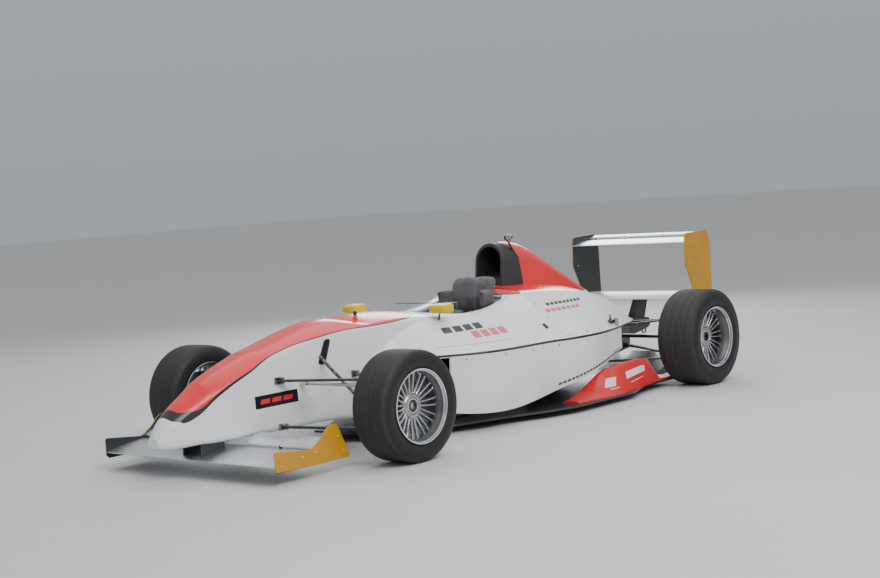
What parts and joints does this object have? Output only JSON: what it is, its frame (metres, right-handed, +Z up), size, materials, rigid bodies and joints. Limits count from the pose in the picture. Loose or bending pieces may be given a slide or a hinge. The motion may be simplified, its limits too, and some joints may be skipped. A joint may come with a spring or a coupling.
{
  "type": "open wheel racing car",
  "caption": "Single seat open wheel racing car with a slim nose, side pods, front and rear wings, slick tyres, wishbone suspension and linked steering.",
  "frame": {"origin": "centre of the footprint on the road, under the middle of the car's box", "axes": "+X forward to the nose, +Y to the driver's left, +Z up"},
  "size_m": [4.2, 1.728, 0.985],
  "materials": {
    "body_paint": "gloss",
    "red_paint": "gloss",
    "yellow_paint": "satin",
    "wing_alloy": "brushed",
    "carbon": "woven satin",
    "tyre": "matte",
    "rim_silver": "satin",
    "disc_iron": "machined",
    "upright_alloy": "machined",
    "arm_black": "satin",
    "bright_steel": "satin",
    "case_alloy": "cast",
    "exhaust_steel": "heat stained",
    "radiator_alloy": "finned",
    "seat_shell": "satin",
    "foam_black": "matte",
    "screen_clear": "clear",
    "mirror_yellow": "gloss",
    "camera_black": "satin",
    "grip_black": "suede"
  },
  "bodies": {
    "root": {"nose_cone": "body_paint", "monocoque": "body_paint", "side_pod_left": "body_paint", "side_pod_right": "body_paint", "engine_cover": "body_paint", "air_intake": "carbon", "hoop_camera": "camera_black", "front_wing": "wing_alloy", "front_endplates": "yellow_paint", "rear_planes": "wing_alloy", "rear_endplates": "yellow_paint", "floor": "carbon", "floor_fairings": "red_paint", "engine": "case_alloy", "gearbox": "case_alloy", "crash_structure": "carbon", "wing_pillars": "arm_black", "exhaust": "exhaust_steel", "radiators": "radiator_alloy", "seat": "seat_shell", "headrest": "foam_black", "dashboard": "carbon", "windscreen": "screen_clear", "mirrors": "mirror_yellow", "front_arms": "arm_black", "push_rods": "arm_black", "rear_arms": "arm_black", "rear_uprights": "upright_alloy"},
    "steering_wheel": {"steering_wheel": "grip_black"},
    "steering_rack": {"steering_rack": "bright_steel"},
    "knuckle_left": {"knuckle_left": "upright_alloy"},
    "track_rod_left": {"track_rod_left": "bright_steel"},
    "knuckle_right": {"knuckle_right": "upright_alloy"},
    "track_rod_right": {"track_rod_right": "bright_steel"},
    "wheel_front_left": {"tyre_front_left": "tyre", "rim_front_left": "rim_silver", "hub_front_left": "disc_iron"},
    "wheel_front_right": {"tyre_front_right": "tyre", "rim_front_right": "rim_silver", "hub_front_right": "disc_iron"},
    "wheel_rear_left": {"tyre_rear_left": "tyre", "rim_rear_left": "rim_silver", "hub_rear_left": "disc_iron"},
    "wheel_rear_right": {"tyre_rear_right": "tyre", "rim_rear_right": "rim_silver", "hub_rear_right": "disc_iron"}
  },
  "joints": [
    {"name": "steering", "type": "hinge", "parent": "root", "child": "steering_wheel", "pos_m": [0.2, 0, 0.47], "axis": [0.9659, 0, -0.2588], "range_deg": [-170, 170]},
    {"name": "rack_slide", "type": "slide", "parent": "root", "child": "steering_rack", "axis": [0, 1, 0], "range_m": [-0.031, 0.031]},
    {"name": "steer_left", "type": "hinge", "parent": "root", "child": "knuckle_left", "pos_m": [1.185, 0.69, 0.268], "axis": [0, 0, 1], "range_deg": [-17, 17]},
    {"name": "rod_pivot_left", "type": "hinge", "parent": "knuckle_left", "child": "track_rod_left", "pos_m": [1.29, 0.62, 0.372], "axis": [0, 0, 1], "range_deg": [-17, 17]},
    {"name": "steer_right", "type": "hinge", "parent": "root", "child": "knuckle_right", "pos_m": [1.185, -0.69, 0.268], "axis": [0, 0, 1], "range_deg": [-17, 17]},
    {"name": "rod_pivot_right", "type": "hinge", "parent": "knuckle_right", "child": "track_rod_right", "pos_m": [1.29, -0.62, 0.372], "axis": [0, 0, 1], "range_deg": [-17, 17]},
    {"name": "spin_front_left", "type": "hinge", "parent": "knuckle_left", "child": "wheel_front_left", "pos_m": [1.185, 0.753, 0.268], "axis": [0, 1, 0], "continuous": true},
    {"name": "spin_front_right", "type": "hinge", "parent": "knuckle_right", "child": "wheel_front_right", "pos_m": [1.185, -0.753, 0.268], "axis": [0, 1, 0], "continuous": true},
    {"name": "spin_rear_left", "type": "hinge", "parent": "root", "child": "wheel_rear_left", "pos_m": [-1.465, 0.72, 0.284], "axis": [0, 1, 0], "continuous": true},
    {"name": "spin_rear_right", "type": "hinge", "parent": "root", "child": "wheel_rear_right", "pos_m": [-1.465, -0.72, 0.284], "axis": [0, 1, 0], "continuous": true}
  ],
  "couplings": [
    {"joint": "rack_slide", "follows": "steering", "m_per_rad": -0.01035},
    {"joint": "steer_left", "follows": "steering", "ratio": -0.1},
    {"joint": "rod_pivot_left", "follows": "steering", "ratio": 0.1},
    {"joint": "steer_right", "follows": "steering", "ratio": -0.1},
    {"joint": "rod_pivot_right", "follows": "steering", "ratio": 0.1}
  ]
}
